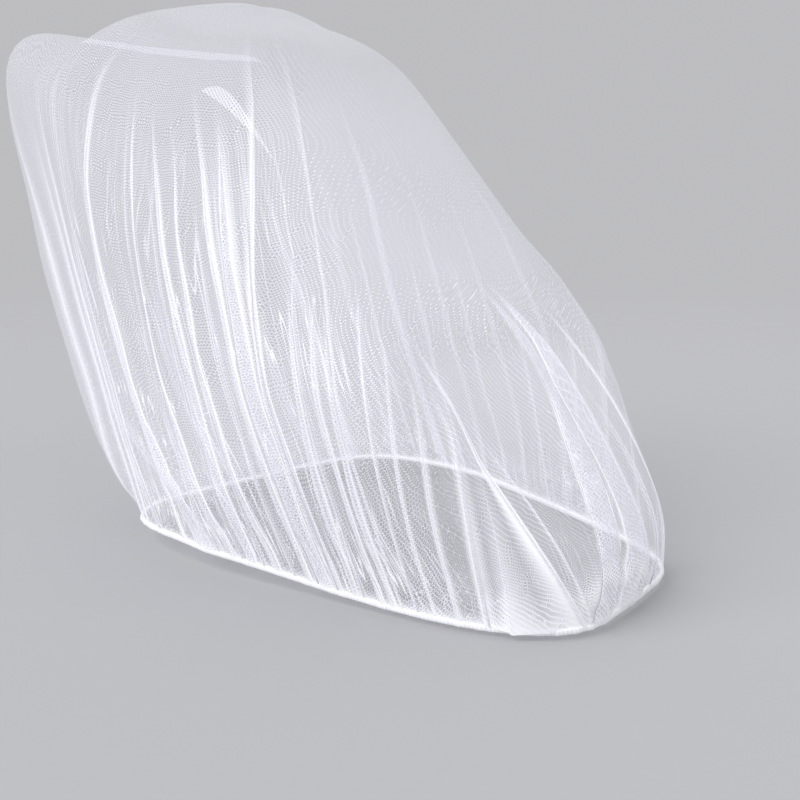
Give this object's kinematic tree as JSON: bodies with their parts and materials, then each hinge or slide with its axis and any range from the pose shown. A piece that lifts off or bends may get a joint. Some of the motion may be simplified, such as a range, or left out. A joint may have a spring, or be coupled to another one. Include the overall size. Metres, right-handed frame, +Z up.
{
  "type": "stroller mosquito net",
  "caption": "Fine even mosquito net cover with an elastic hem edging, in the hollow draped shape it takes when pulled over a stroller.",
  "frame": {"origin": "under the crown of the net, on its inner face, where it rests on top of what it covers", "axes": "+X forward, towards the low rounded foot end; +Y to the left; +Z up"},
  "size_m": [1.0363, 0.5869, 0.7578],
  "materials": {
    "net": "fine white knitted polyester net, sheer, with a faint cool tint",
    "edging": "soft white elastic tape, gathered and matt"
  },
  "bodies": {
    "root": {"net_sheet": "net", "elastic_edging": "edging"}
  },
  "joints": []
}
